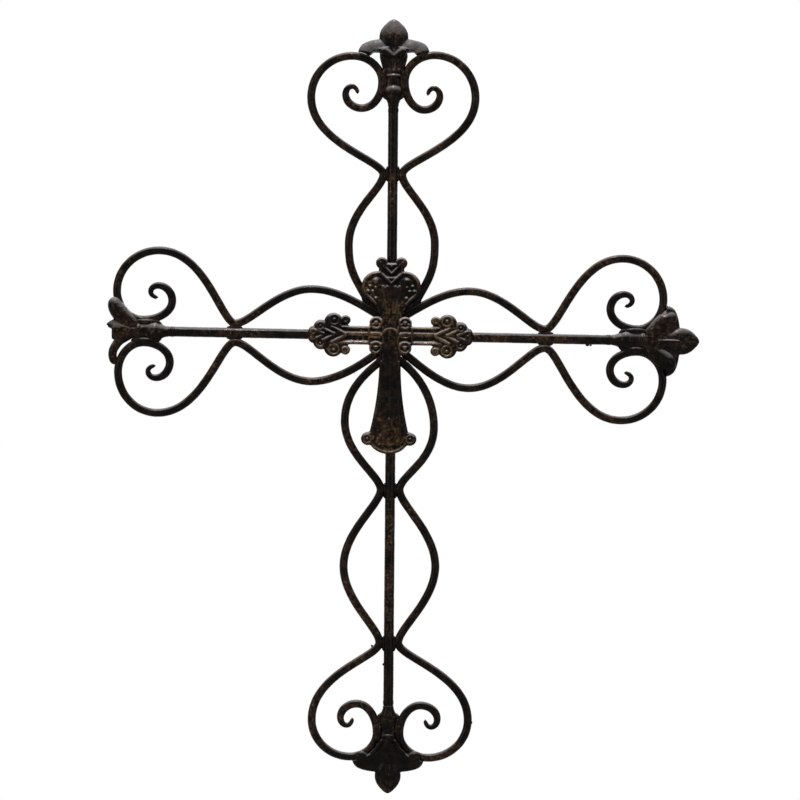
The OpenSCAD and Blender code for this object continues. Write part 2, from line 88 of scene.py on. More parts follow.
def rubbed_paint(name, wax_share, gold_share, grain_mm, grain_depth_mm, painted_highlight, uses_wear_and_shade=False, shift=0.0):
    """Iron painted black and rubbed by hand with brown and gold wax: a smooth near-black gloss,
    faint warm mottling where wax is left, dull gold where it is thick, and a painted highlight: a pale
    grey mixed into the colour of what faces upwards, where the overhead light would shine. Its
    painted-highlight argument is the slope at which that highlight starts and its share at the top; on
    the relief, the plaque's own attribute adds gold wear on the crests and painted shade in the recesses."""
    paint = bpy.data.materials.new(name)
    paint.use_nodes = True
    tree = paint.node_tree
    shader = tree.nodes["Principled BSDF"]
    place = add_node(tree, "ShaderNodeTexCoord").outputs["Object"]

    def grain(size_mm, detail, low, high, offset=0.0):
        moved = add_node(tree, "ShaderNodeVectorMath", {0: place, 1: (offset, offset, offset)},
                         operation="ADD")
        cloud = add_node(tree, "ShaderNodeTexNoise",
                         {"Vector": moved.outputs[0], "Scale": 1 / (size_mm * MM), "Detail": detail})
        return add_node(tree, "ShaderNodeMapRange",
                        {"Value": cloud.outputs["Fac"], "From Min": low, "From Max": high},
                        interpolation_type="SMOOTHSTEP").outputs["Result"]

    # where the rag was pressed, the mottling it left, and flecks of thicker wax, in millimetres
    patches = grain(38, 3, 0.42, 0.62, shift)
    mottle = grain(4.5, 4, 0.35, 0.78, 0.31)
    flecks = grain(2.4, 4, 0.5, 0.74, 0.73)
    hand = add_node(tree, "ShaderNodeMapRange", {"Value": patches, "To Min": 0.3 * wax_share,
                                             "To Max": wax_share})
    wax = add_node(tree, "ShaderNodeMath", {0: hand.outputs["Result"], 1: mottle}, operation="MULTIPLY")
    gold = add_node(tree, "ShaderNodeMath", {0: patches, 1: flecks}, operation="MULTIPLY")
    gold = add_node(tree, "ShaderNodeMath", {0: gold.outputs[0], 1: gold_share}, operation="MULTIPLY")
    if uses_wear_and_shade:
        # painted shade: the wax is dimmed almost to the black base in the recesses, and the gold wear lies
        # only on the crests that the rag met
        wear_and_shade = add_node(tree, "ShaderNodeAttribute", attribute_name="wear_and_shade").outputs["Fac"]
        low_in = add_node(tree, "ShaderNodeMapRange", {"Value": wear_and_shade, "To Min": 0.1, "To Max": 1.5})
        wax = add_node(tree, "ShaderNodeMath", {0: wax.outputs[0], 1: low_in.outputs["Result"]},
                       operation="MULTIPLY", use_clamp=True)
        crest = add_node(tree, "ShaderNodeMapRange", {"Value": wear_and_shade, "From Min": 0.45, "To Max": 0.6})
        crest = add_node(tree, "ShaderNodeMath", {0: crest.outputs["Result"], 1: patches},
                         operation="MULTIPLY")
        gold = add_node(tree, "ShaderNodeMath",
                        {0: crest.outputs[0], 1: grain(0.9, 3, 0.35, 0.6, 0.17), 2: gold.outputs[0]},
                        operation="MULTIPLY_ADD", use_clamp=True)
    brown = add_node(tree, "ShaderNodeMix", {0: wax.outputs[0], 6: linear("#050403"), 7: linear("#33241a")},
                     data_type="RGBA")
    colour = add_node(tree, "ShaderNodeMix", {0: gold.outputs[0], 6: brown.outputs[2], 7: linear("#6d5331")},
                      data_type="RGBA")
    # Painted highlight: faces that point upwards are mixed towards a pale warm grey, in place of the sheen
    # that the overhead light gives
    facing = add_node(tree, "ShaderNodeNewGeometry").outputs["Normal"]
    facing = add_node(tree, "ShaderNodeSeparateXYZ", {0: facing})
    painted_sheen = add_node(tree, "ShaderNodeMapRange", {"Value": facing.outputs["Z"], "From Min": painted_highlight[0],
                                                  "From Max": 0.97, "To Max": painted_highlight[1]})
    colour = add_node(tree, "ShaderNodeMix", {0: painted_sheen.outputs["Result"], 6: colour.outputs[2],
                                              7: linear("#9a948f")}, data_type="RGBA")
    tree.links.new(colour.outputs[2], shader.inputs["Base Color"])
    gloss = add_node(tree, "ShaderNodeMapRange", {"Value": mottle, "To Min": 0.2, "To Max": 0.33})
    tree.links.new(gloss.outputs["Result"], shader.inputs["Roughness"])
    metal = add_node(tree, "ShaderNodeMath", {0: gold.outputs[0], 1: 0.3}, operation="MULTIPLY")
    tree.links.new(metal.outputs[0], shader.inputs["Metallic"])
    shader.inputs["Specular IOR Level"].default_value = 0.045
    pits = add_node(tree, "ShaderNodeBump", {"Height": grain(grain_mm, 4, 0.3, 0.7, 0.53), "Strength": 0.3,
                                             "Distance": grain_depth_mm * MM})
    fine = add_node(tree, "ShaderNodeBump", {"Height": grain(0.8, 2, 0.3, 0.7, 0.91), "Strength": 0.2,
                                             "Distance": 0.05 * MM, "Normal": pits.outputs["Normal"]})
    tree.links.new(fine.outputs["Normal"], shader.inputs["Normal"])
    return paint


stem_low, stem_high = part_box("stem")
left_low, left_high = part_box("crossbar_left")
right_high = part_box("crossbar_right")[1]
bar_r = (stem_high[0] - stem_low[0]) / 2 / MM
crossing = Vector((0, (stem_low[1] + stem_high[1]) / 2, (left_low[2] + right_high[2]) / 2))
droop = math.degrees(math.atan2(left_high[2] - right_high[2], -left_low[0]))
ARM_TOP, ARM_RIGHT, ARM_BOTTOM, ARM_LEFT = 0, 90 + droop, 180, 270 + droop
bar_paint = rubbed_paint("rubbed_bronze_paint_on_bar", 0.9, 0.45, 2.2, 0.16, (0.42, 0.6))


def sweep_tree():
    """Sweeps a round section along a mesh path whose points carry their own thickness."""
    tree = bpy.data.node_groups.new("forged_round_bar", "GeometryNodeTree")
    for label, kind in (("Path", "NodeSocketGeometry"), ("Sides", "NodeSocketInt"),
                        ("Hammer depth", "NodeSocketFloat"), ("Hammer marks per metre", "NodeSocketFloat"),
                        ("Paint", "NodeSocketMaterial")):
        tree.interface.new_socket(label, in_out="INPUT", socket_type=kind)
    tree.interface.new_socket("Bar", in_out="OUTPUT", socket_type="NodeSocketGeometry")
    given = add_node(tree, "NodeGroupInput").outputs
    line = add_node(tree, "GeometryNodeMeshToCurve", {"Mesh": given["Path"]})
    width = add_node(tree, "GeometryNodeInputNamedAttribute", {"Name": "thickness"}, data_type="FLOAT")
    ring = add_node(tree, "GeometryNodeCurvePrimitiveCircle", {"Resolution": given["Sides"], "Radius": 1.0})
    bar = add_node(tree, "GeometryNodeCurveToMesh",
                   {"Curve": line.outputs["Curve"], "Profile Curve": ring.outputs["Curve"],
                    "Scale": width.outputs["Attribute"], "Fill Caps": True})
    marks = add_node(tree, "ShaderNodeTexNoise", {"Scale": given["Hammer marks per metre"], "Detail": 1.5})
    centred = add_node(tree, "ShaderNodeMath", {0: marks.outputs["Fac"], 1: 0.62}, operation="SUBTRACT")
    depth = add_node(tree, "ShaderNodeMath", {0: centred.outputs[0], 1: given["Hammer depth"]},
                     operation="MULTIPLY")
    out = add_node(tree, "GeometryNodeInputNormal")
    push = add_node(tree, "ShaderNodeVectorMath", {0: out.outputs["Normal"], "Scale": depth.outputs[0]},
                    operation="SCALE")
    bar = add_node(tree, "GeometryNodeSetPosition",
                   {"Geometry": bar.outputs["Mesh"], "Offset": push.outputs["Vector"]})
    bar = add_node(tree, "GeometryNodeRealizeInstances", {"Geometry": bar.outputs["Geometry"]})
    bar = add_node(tree, "GeometryNodeSetMaterial",
                   {"Geometry": bar.outputs["Geometry"], "Material": given["Paint"]})
    add_node(tree, "NodeGroupOutput", {"Bar": bar.outputs["Geometry"]})
    return tree


def made_plain(piece, modifier):
    """Turns the modifier's result into the piece's own mesh."""
    graph = bpy.context.evaluated_depsgraph_get()
    mesh = bpy.data.meshes.new_from_object(piece.evaluated_get(graph))
    piece.modifiers.remove(modifier)
    piece.data = mesh
    mesh.shade_smooth()


def new_piece(name, vertices, edges=(), faces=()):
    mesh = bpy.data.meshes.new(name)
    mesh.from_pydata([tuple(v) for v in vertices], edges, faces)
    piece = bpy.data.objects.new(name, mesh)
    bpy.context.scene.collection.objects.link(piece)
    return piece


def run_tree(piece, tree, **values):
    modifier = piece.modifiers.new(tree.name, "NODES")
    modifier.node_group = tree
    for item in tree.interface.items_tree:
        if item.in_out == "INPUT" and item.name in values:
            modifier[item.identifier] = values[item.name]
    made_plain(piece, modifier)


def settle(piece, node):
    """Puts a finished piece in the place of its CAD node."""
    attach(piece, "root")
    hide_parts(node)


def in_place(arm, flip, side, along, depth=0.0):
    """A point of an arm's own frame, in millimetres, in the place it has on the cross."""
    turn = math.radians(arm)
    side = -side if flip else side
    return crossing + MM * Vector((side * math.cos(turn) + along * math.sin(turn), depth,
                                   along * math.cos(turn) - side * math.sin(turn)))


forging = sweep_tree()
hammer_marks_per_metre = 160.0


def round_bar(name, points, radii, sides, hammer_mm, paint):
    bar = new_piece(name + "_forged", points, [(i, i + 1) for i in range(len(points) - 1)])
    thickness = bar.data.attributes.new("thickness", "FLOAT", "POINT")
    thickness.data.foreach_set("value", [r * MM for r in radii])
    run_tree(bar, forging, **{"Sides": sides, "Hammer depth": hammer_mm * MM,
                              "Hammer marks per metre": hammer_marks_per_metre, "Paint": paint})
    settle(bar, name)


def straight(arm, start, stop, step=1.5):
    count = int((stop - start) / step)
    return [in_place(arm, False, 0, start + (stop - start) * i / count) for i in range(count + 1)]


crossing_z = crossing.z / MM
bar_sides, bar_hammer_mm = 20, 0.35
butt_gap = 0.2
for name, arm, start, stop in (
        ("stem", ARM_TOP, stem_low[2] / MM - crossing_z, stem_high[2] / MM - crossing_z),
        ("crossbar_left", ARM_LEFT, bar_r + butt_gap, -left_low[0] / MM),
        ("crossbar_right", ARM_RIGHT, bar_r + butt_gap, right_high[0] / MM)):
    course = straight(arm, start, stop)
    round_bar(name, course, [bar_r] * len(course), bar_sides, bar_hammer_mm, bar_paint)


# ---- Scroll rods: eight lengths of 6.5 mm rod, bent on a jig ----
# Each is drawn out to a thin tip, curled, then bent cold round the jig's pegs into a heart and
# a lens, or two lenses on the foot. No two come off quite alike, and each keeps its own drift.

rod_r = 3.25
gap = 0.15
tip_r = 1.3
taper_mm = 24
cap_neck_r = 5.5
waist_out = bar_r + rod_r + gap
neck_out = cap_neck_r + rod_r + gap
rod_paint = rubbed_paint("rubbed_bronze_paint_on_rod", 0.7, 0.32, 2.0, 0.14, (0.42, 0.6))


def bezier(a, b, c, d, step=1.3):
    a, b, c, d = (np.array(p, float) for p in (a, b, c, d))
    count = max(5, int((np.linalg.norm(d - a) + np.linalg.norm(b - a) * 0.3) / step))
    t = (np.arange(count) / count)[:, None]
    s = 1 - t
    return s**3 * a + 3 * s * s * t * b + 3 * s * t * t * c + t**3 * d


def sway(a, b, pull_a, pull_b):
    return bezier(a, (a[0], a[1] + pull_a), (b[0], b[1] - pull_b), b)


def quarter(a, b, starts_along):
    rounded = 0.5523
    dx, dz = (b[0] - a[0]) * rounded, (b[1] - a[1]) * rounded
    if starts_along:
        return bezier(a, (a[0], a[1] + dz), (b[0] - dx, b[1]), b)
    return bezier(a, (a[0] + dx, a[1]), (b[0], b[1] - dz), b)


def heart_line(w, wider, longer, out, up):
    peak = (64 + wider, w + 60.5)
    lobe = (32 + wider / 2, w + 93 + longer)
    neck = (neck_out, w + 72.5 + longer / 2)
    base = (24 + out / 2, w + 51 + up)
    side, top, tip = (36 + out, w + 62 + up), (31 + out, w + 68 + up), (26.5 + out, w + 62 + up)
    return [sway((waist_out, w), peak, 11.5, 36.5), quarter(peak, lobe, True), quarter(lobe, neck, False),
            quarter(neck, base, True), quarter(base, side, False), quarter(side, top, True),
            quarter(top, tip, False), np.array([tip])]


def seat(lean):
    return bar_r + gap + rod_r * lean


def side_root(angle, rise):
    return seat(math.cos(angle)) + rise, seat(math.sin(angle))


def upright_root(angle, rise, side_angle, side_rise, skew):
    line = side_angle - skew
    start = side_root(side_angle, side_rise)
    near = (start[1] * math.cos(skew) + start[0] * math.sin(skew),
            start[0] * math.cos(skew) - start[1] * math.sin(skew))
    out = seat(math.cos(angle)) + rise
    clear = rod_r + gap + rod_r * math.sin(line + angle)
    return out, near[1] + (out - near[0]) * math.tan(line) + clear / math.cos(line)


def lens_line(w, reach, half, root, angle):
    peak = (half, reach)
    lead = (root[0] + 20 * math.sin(angle), root[1] + 20 * math.cos(angle))
    return [bezier(root, lead, (peak[0], peak[1] - 20), peak), sway(peak, (waist_out, w), 27, 11.5)]


def foot_lens(w, length, half):
    middle = (half, w + length / 2)
    return [sway((waist_out, w), middle, 11.5, 27), sway(middle, (waist_out, w + length), 27, 11.5)]


def drawn_out(line):
    """The rod's radius along its line: full, then falling to a rounded tip."""
    steps = np.linalg.norm(np.diff(line, axis=0), axis=1)
    left = np.append(np.cumsum(steps[::-1])[::-1], 0)
    radii = tip_r + (rod_r - tip_r) * np.minimum(left / taper_mm, 1)**0.75
    return radii * np.sqrt(np.clip(1 - (1 - np.minimum(left / tip_r, 1))**2, 0.02, 1))


upper_angle, lower_angle, top_angle, bottom_angle = (math.radians(a) for a in (31.5, 38.5, 29.5, 52))
upper_rise, lower_rise, top_rise, bottom_rise = 6, 3.5, 13, 2.5
skew = math.radians(droop)
top_waist, bottom_waist, second_waist = 126.5, 121, 241
left_waist, right_waist = 122.5, 120.5
top_roots = [upright_root(top_angle, top_rise, upper_angle, upper_rise, s) for s in (-skew, skew)]
bottom_roots = [upright_root(bottom_angle, bottom_rise, lower_angle, lower_rise, s) for s in (skew, -skew)]
upper_root, lower_root = side_root(upper_angle, upper_rise), side_root(lower_angle, lower_rise)
# how far from the crossing each lens is widest
top_reach, left_reach, right_reach, bottom_left_reach, bottom_right_reach = 71.5, 62.5, 61, 67, 72
foot_lens_long, foot_lens_half = 120, 36


def top_lens(half, root):
    return lens_line(top_waist, top_reach, half, root, top_angle)


def bottom_lenses(reach, half, root):
    first = lens_line(bottom_waist, reach, half, root, bottom_angle)
    return first + foot_lens(bottom_waist, foot_lens_long, foot_lens_half)


def upper_lens(waist, reach, half):
    return lens_line(waist, reach, half, upper_root, upper_angle)


def lower_lens(waist, reach, half):
    return lens_line(waist, reach, half, lower_root, lower_angle)


# name: arm, flipped, waist of the heart, the lens's lines, the heart's own drift
scrolls = {
    "scroll_top_left": (ARM_TOP, True, top_waist, top_lens(34, top_roots[0]), (0.5, 0, 1.5, 1)),
    "scroll_top_right": (ARM_TOP, False, top_waist, top_lens(33.5, top_roots[1]), (0.5, 1, 0.5, 0)),
    "scroll_bottom_left": (ARM_BOTTOM, False, second_waist,
                           bottom_lenses(bottom_left_reach, 36, bottom_roots[0]), (-4, -3.5, 1.5, -3)),
    "scroll_bottom_right": (ARM_BOTTOM, True, second_waist,
                            bottom_lenses(bottom_right_reach, 34, bottom_roots[1]), (-1.5, -3, 2.5, -2)),
    "scroll_left_upper": (ARM_LEFT, False, left_waist, upper_lens(left_waist, left_reach, 35.5),
                          (-0.5, 0.5, 0, -1)),
    "scroll_left_lower": (ARM_LEFT, True, left_waist, lower_lens(left_waist, left_reach, 37),
                          (0, -1.5, 0.5, 0)),
    "scroll_right_upper": (ARM_RIGHT, True, right_waist, upper_lens(right_waist, right_reach, 36),
                           (0, -0.5, 0, 0)),
    "scroll_right_lower": (ARM_RIGHT, False, right_waist, lower_lens(right_waist, right_reach, 40),
                           (-1, 0, -1, 0.5)),
}
rod_sides, rod_hammer_mm = 16, 0.3
for name, (arm, flip, waist, lens, drift) in scrolls.items():
    line = np.vstack(lens + heart_line(waist, *drift))
    course = [in_place(arm, flip, x, z) for x, z in line]
    round_bar(name, course, drawn_out(line), rod_sides, rod_hammer_mm, rod_paint)


# ---- Lily caps: four iron castings from one pattern ----
# Each has a cuff over the bar, a round bulb and a band below the body, and three petals: two that
# reach over onto the hearts and one that stands up. Each was filed and bent to its own place, and
# the left one has lost its middle petal.

cast_paint = rubbed_paint("rubbed_bronze_paint_on_casting", 0.5, 0.3, 2.6, 0.2, (0.1, 0.62))
# The caps' paints differ in painted highlight: the crossbar's caps lie on their sides and take a narrower one
# on their upward faces, and the foot's cap the faintest, so that it renders darker, as if in shade
side_paint = rubbed_paint("rubbed_bronze_paint_on_side_casting", 0.6, 0.35, 2.6, 0.2, (0.25, 0.7))
faint_highlight_paint = rubbed_paint("faint_highlight_paint_on_casting", 0.6, 0.25, 2.6, 0.2, (0.5, 0.4))
cast_voxel_mm = 0.42
cast_back = 6.0


def loft(rings):
    """Closed mesh data over rings of points that all have the same count."""
    count = len(rings[0])
    points = [p for ring in rings for p in ring]
    faces = [tuple(reversed(range(count)))]
    for i in range(len(rings) - 1):
        for j in range(count):
            k = (j + 1) % count
            faces.append((i * count + j, i * count + k, (i + 1) * count + k, (i + 1) * count + j))
    faces.append(tuple(range((len(rings) - 1) * count, len(rings) * count)))
    return points, faces


def smooth_through(table, heights):
    """Values at the heights, on a smooth line through a short table of (height, value, ...)."""
    rows = np.array(table, float)
    knots, values = rows[:, 0], rows[:, 1:]
    slopes = np.gradient(values, knots, axis=0)
    found = []
    for z in heights:
        i = int(np.clip(np.searchsorted(knots, z) - 1, 0, len(knots) - 2))
        span = knots[i + 1] - knots[i]
        t = (z - knots[i]) / span
        found.append((2 * t**3 - 3 * t * t + 1) * values[i] + (t**3 - 2 * t * t + t) * span * slopes[i]
                     + (3 * t * t - 2 * t**3) * values[i + 1] + (t**3 - t * t) * span * slopes[i + 1])
    return np.array(found)


def rolled(course, depth, flat=1.0, blunt=8):
    """A rounded form along a short course of (side, along, radius). Flat is its depth over its width,
    and a blunt of 2 rounds its ends to an egg, a higher one to a finger."""
    steps, count = 40, 32
    stations = [i * (len(course) - 1) / steps for i in range(steps + 1)]
    rows = smooth_through([(i, *row) for i, row in enumerate(course)], stations)
    rings = []
    for i, ((x, z, radius), (dx, dz)) in enumerate(zip(rows, np.gradient(rows[:, :2], axis=0))):
        long = math.hypot(dx, dz)
        radius *= math.sqrt(max(0.02, 1 - abs(2 * i / steps - 1)**blunt))
        rings.append([])
        for j in range(count):
            a = math.tau * j / count
            rings[-1].append((x + radius * math.cos(a) * dz / long, flat * radius * math.sin(a) - depth,
                              z - radius * math.cos(a) * dx / long))
    return loft(rings)


def turned_neck():
    """Cuff and neck, cast round and a little narrower from front to back."""
    sizes = [(-40, 4.3, 4.3), (-38, 4.4, 4.4), (-36.2, 5.1, 4.9), (-33.5, 6.2, 5.2), (-29.5, 7.1, 5.2),
             (-26, 7.2, 5.0), (-22.2, 6.8, 4.8), (-20.5, 6.6, 4.7), (-17, 6.9, 4.8), (-12, 8.0, 5.0)]
    heights = np.arange(-40, -11.9, 0.5)
    turns = [math.tau * j / 48 for j in range(48)]
    return loft([[(wide * math.cos(a), deep * math.sin(a), z) for a in turns]
                 for z, (wide, deep) in zip(heights, smooth_through(sizes, heights))])


def fluted_body(slim, flute_mm):
    """The sheath that the petals spring from, with flutes that follow its flare."""
    sizes = [(-14.5, 7.2, 4.9), (-13, 8.2, 5.8), (-10, 8.9, 5.7), (-6, 10.0, 5.9), (-2.5, 10.9, 6.1),
             (1, 11.0, 6.0), (4.5, 9.4, 5.0)]
    heights = np.arange(-14.5, 4.6, 0.5)
    rings = []
    for z, (wide, deep) in zip(heights, smooth_through(sizes, heights)):
        depth = flute_mm * min(1, (z + 14.5) / 5)
        rings.append([])
        for j in range(96):
            a = math.tau * j / 96
            flute = 1 - depth / 6 * (0.5 - 0.5 * math.cos(14 * a))
            rings[-1].append((wide * slim * flute * math.cos(a), deep * flute * math.sin(a), z))
    return loft(rings)


def middle_petal(slim):
    """A standing petal with a crowned face and a crease that dies out half way up."""
    sizes = [(0, 7.5, 4.0), (5, 8.6, 5.2), (10, 10.6, 5.9), (14.5, 11.4, 5.6), (18.5, 10.7, 4.8),
             (22.5, 8.4, 3.6), (25.5, 5.4, 2.5), (27.5, 2.9, 1.6), (28.5, 0.9, 0.7)]
    heights = np.append(np.arange(0, 28.3, 0.5), 28.5)
    rings = []
    for z, (wide, deep) in zip(heights, smooth_through(sizes, heights)):
        crease = 1.5 * np.clip((17 - z) / 5, 0, 1)
        keel = 0.7 * np.clip((z - 12) / 5, 0, 1) * np.clip((27 - z) / 8, 0, 1)
        ring = []
        for j in range(64):
            a = math.tau * j / 64
            x = wide * slim * math.cos(a)
            bulge = abs(math.sin(a))**0.85
            middle = math.exp(-(x / 1.1)**2)
            depth = deep + keel * math.exp(-(x / 2.2)**2) - crease * middle
            y = math.copysign(depth * bulge, math.sin(a))
            ring.append((x, y, z))
        rings.append(ring)
    return loft(rings)


def side_petal(rest, crest, leaves_at):
    """A petal that springs from the body and arches over; beyond the distance leaves_at from the
    axis its underside lies along the heart's rod."""
    out, inner, foot, steps, count = 28.0, 0.5, 1.8, 44, 40
    tip = rest + 0.4
    rings = []
    for i in range(steps + 1):
        f = i / steps
        x = inner + (out - inner) * f
        top = tip + (crest - tip) * math.sqrt(max(0, 1 - f**2.6))
        top -= 4.5 * max(0, 1 - f * 3.2)**2
        under = foot + (rest - 0.7 - foot) * f * f - 2.6 * max(0, 1 - x / 8)**2
        bend = (32 - max(x, 9)) / 23.4
        rod_back = 20.5 * math.sqrt(1 - bend * bend) - 17.6
        lies_on = min(1, max(0, (x - leaves_at) / 3))
        under += lies_on * (min(under, rod_back) - under)
        end = math.sqrt(max(0.03, 1 - max(0, (f - 0.86) / 0.14)**2))
        half = (7.8 - 2.9 * f) * end * (0.62 + 0.38 * min(1, x / 11))
        tall = (top - under) * (0.3 + 0.7 * end)
        mid = under + (top - under) / 2 * (1 - 0.4 * (1 - end))
        ring = []
        for j in range(count):
            a = math.tau * j / count
            c, s = abs(math.cos(a)), math.sin(a)
            # a domed section: a crest over faces that round down to the rims, and an underside that
            # is keeled by the neck and flat farther out
            z = 0.5 - 0.86 * c**2 if s >= 0 else -0.5 + (0.14 + 0.5 * max(0, 1 - x / 15)) * c
            ring.append((x, half * math.copysign(c**0.8, math.cos(a)), mid + tall * z))
        rings.append(ring)
    return loft(rings)


def broken_away(points):
    """Ends the middle petal in a torn edge: highest on one side, gone on the other."""
    kept = []
    for x, y, z in points:
        tear = 7.8 - 7.0 / (1 + math.exp((x - 1.5) * 1.6)) - 6.5 * max(0, (x - 6) / 4)
        tear += 1.5 * noise.noise(Vector((x * 0.42, y * 0.5, 3.1)))
        tear += 0.6 * noise.noise(Vector((x * 1.3, y * 1.2, 7)))
        kept.append((x, y, min(z, max(0.5, tear))))
    return kept


def cap(name, arm, end, sides, paint, slim=1.0, petal_slim=1.0, flute_mm=0.0, broken=False):
    """A cap on an arm's axis, with the parts of its two sides, the second side's mirrored."""
    points, faces = [], []

    def add(part, mirrored=False):
        base = len(points)
        points.extend((-x, y, z) if mirrored else (x, y, z) for x, y, z in part[0])
        faces.extend(tuple(base + k for k in (reversed(f) if mirrored else f)) for f in part[1])

    petal = middle_petal(petal_slim)
    if broken:
        petal = (broken_away(petal[0]), petal[1])
    bulb = rolled([(0, -35.4, 7.3), (0, -28.7, 7.3), (0, -22, 7.3)], 0.4, 0.88, blunt=2)
    band = rolled([(0, -19.2, 6.9), (0, -16.3, 6.9), (0, -13.4, 6.9)], 0.2, 0.86, blunt=2)
    for part in (turned_neck(), bulb, band, fluted_body(slim, flute_mm), petal):
        add(part)
    for mirrored, parts in zip((False, True), sides):
        for part in parts:
            add(part, mirrored)
    piece = new_piece(name + "_cast", points, faces=faces)
    fuse = piece.modifiers.new("cast in one", "REMESH")
    fuse.mode, fuse.voxel_size = "VOXEL", cast_voxel_mm
    made_plain(piece, fuse)
    soften = piece.modifiers.new("sand-cast softness", "SMOOTH")
    soften.factor, soften.iterations = 0.5, 4
    made_plain(piece, soften)
    rough = 0.2 if broken else 0.16
    for vertex in piece.data.vertices:
        spot = vertex.co
        ripple = noise.noise(spot * 0.35) * 0.6 + noise.noise(spot * 1.1) * 0.4
        vertex.co = in_place(arm, False, spot.x, end + spot.z, min(spot.y, cast_back) + rough * ripple)
    piece.data.materials.clear()
    piece.data.materials.append(paint)
    settle(piece, name)


top_end, bottom_end = top_waist + 93.5, second_waist + 89.75
left_end, right_end = left_waist + 92.5, right_waist + 92.75
on_rod = rod_r + gap
# Top: the petals arch clear of the rods and meet in a point before the body
meeting = rolled([(0.3, -2.0, 1.9), (4.5, 1.6, 2.9), (9.5, 4.6, 3.4)], 4.6)
cap("cap_top", ARM_TOP, top_end,
    [[side_petal(on_rod + rise, 13.4, 16), meeting] for rise in (0.5, -0.5)],
    cast_paint, flute_mm=0.9)
# Bottom: the petals lie along the rods, a rib runs down to each, and their ends lap over
rib = rolled([(4.6, -14.0, 1.3), (8.4, -7.4, 1.5), (13.8, -2.0, 1.3)], 6.9)
lap = rolled([(12.5, 2.8, 3.0), (18.0, 1.5, 4.8), (22.0, -0.8, 4.7), (25.2, -3.2, 2.8)], 2.2, 0.86)
cap("cap_bottom", ARM_BOTTOM, bottom_end,
    [[side_petal(on_rod + rise, 12, 0), rib, lap] for rise in (-0.25, 0.25)],
    faint_highlight_paint, petal_slim=0.9)
# Right: the petals lie along the rods too, but swell in the middle, and a thin keel parts them
swell = rolled([(1.5, -14, 4.8), (7.0, -8.0, 6.2), (12.5, -1.6, 7.4), (17.6, 3.4, 7.6), (24.0, 4.0, 5.0)],
               1.0, 0.84)
keel = rolled([(0, -5, 0.8), (0, 4, 1.0), (0, 13, 0.7)], 5.8)
cap("cap_right", ARM_RIGHT, right_end,
    [[side_petal(on_rod + rise, 13.4, 0), swell, keel] for rise in (0.25, -0.25)],
    side_paint, petal_slim=0.93)
# Left: two bent petals, the upper one against its rod and the lower one clear of it
upper_petal = rolled([(1.5, -16, 4.4), (7.0, -10.0, 5.6), (13.0, -2.6, 6.8), (19.5, 1.8, 6.3),
                      (26.6, 2.8, 4.4)], 0.6)
lower_petal = rolled([(0.5, -12, 3.4), (3.6, -8.2, 3.9), (8.5, -1.2, 3.7), (15.9, 3.2, 3.5), (22.6, 3.0, 3.2),
                      (26.2, 0.4, 2.4)], 0.4, 1.1)
cap("cap_left", ARM_LEFT, left_end, [[upper_petal], [lower_petal]], side_paint, slim=0.7, broken=True)


# ---- Plaque: the cast cross over the crossing ----
# One thin iron casting: a heart-shaped head under a two-lobed tab, two leafy ends on reeded
# arms, four ringed bosses round the middle and a foot that spreads to two bosses.

plaque_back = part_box("plaque")[1][1]
plate_t, plaque_left, plaque_turn = 3.2, 0.7, math.radians(0.5)
plaque_grid = 0.42
plaque_place = (Matrix.Translation((-plaque_left * MM, plaque_back, crossing.z))
                @ Matrix.Rotation(plaque_turn, 4, "Y"))
plaque_paint = rubbed_paint("rubbed_bronze_paint_on_relief", 1.15, 0.6, 1.6, 0.1, (0.22, 0.8), uses_wear_and_shade=True,
                            shift=0.21)

# the scallops of half a leafy end: centre and radius
leaf_lobes = [(35.3, 11.7, 3.9), (44.7, 9.8, 7.5), (54.5, 5.8, 6.0), (60.2, 2.6, 4.3)]
# the curl in each of those scallops: centre and radius
leaf_curls = [(35.3, 12.2, 2.2), (44.2, 11.6, 3.9), (55.0, 6.6, 2.9), (60.6, 2.2, 1.8)]
corner_bosses = [(11.4, 9.7), (11.4, -9.7)]

xs = np.arange(-66, 66.01, plaque_grid)
ys = np.arange(-95, 63.01, plaque_grid)
X, Y = np.meshgrid(xs, ys)
side_x = np.abs(X)


def disc(cx, cy, r):
    return np.hypot(side_x - cx, Y - cy) - r


def box_edge(x0, x1, y0, y1):
    dx = np.maximum(x0 - side_x, side_x - x1)
    dy = np.maximum(y0 - Y, Y - y1)
    return np.where((dx > 0) & (dy > 0), np.hypot(dx, dy), np.maximum(dx, dy))


def joined(a, b, fillet):
    share = np.clip(0.5 + 0.5 * (b - a) / fillet, 0, 1)
    return b * (1 - share) + a * share - fillet * share * (1 - share)


def between(low, high, value):
    t = np.clip((value - low) / (high - low), 0, 1)
    return t * t * (3 - 2 * t)


# The outline, as the distance outside it: the upright's width grows in a curve down to the foot
down = np.clip((-Y - 20) / 55, 0, 1)
up = np.clip((Y - 16) / 17.5, 0, 1)
upright_half = 8.4 + 6.6 * down**2 + 12.2 * up**1.1
upright = np.maximum(side_x - upright_half, np.maximum(-Y - 80, Y - 36))
foot_edge = np.maximum(np.hypot(side_x / 16.5, np.minimum(Y + 79, 0) / 14.0) * 15 - 15, Y + 76)
outline = joined(upright, foot_edge, 2)
outline = joined(outline, disc(16.6, -81, 5.2), 1.2)
head = joined(disc(11, 38.2, 12.3), np.maximum(side_x - 10, np.abs(Y - 50) - 7), 1)
outline = joined(outline, head, 2)
outline = joined(outline, disc(7.7, 56.9, 4.7), 0.8)
outline = joined(outline, box_edge(0, 16, -12, 12), 1)
for cx, cy in corner_bosses:
    outline = joined(outline, disc(cx, cy, 5.2), 1)
outline = joined(outline, box_edge(0, 37, -7.4, 7.4), 1.5)
outline = joined(outline, box_edge(33, 56, -7.5, 7.5), 1.5)
for cx, cy, r in leaf_lobes:
    outline = joined(outline, np.minimum(disc(cx, cy, r), disc(cx, -cy, r)), 0.7)
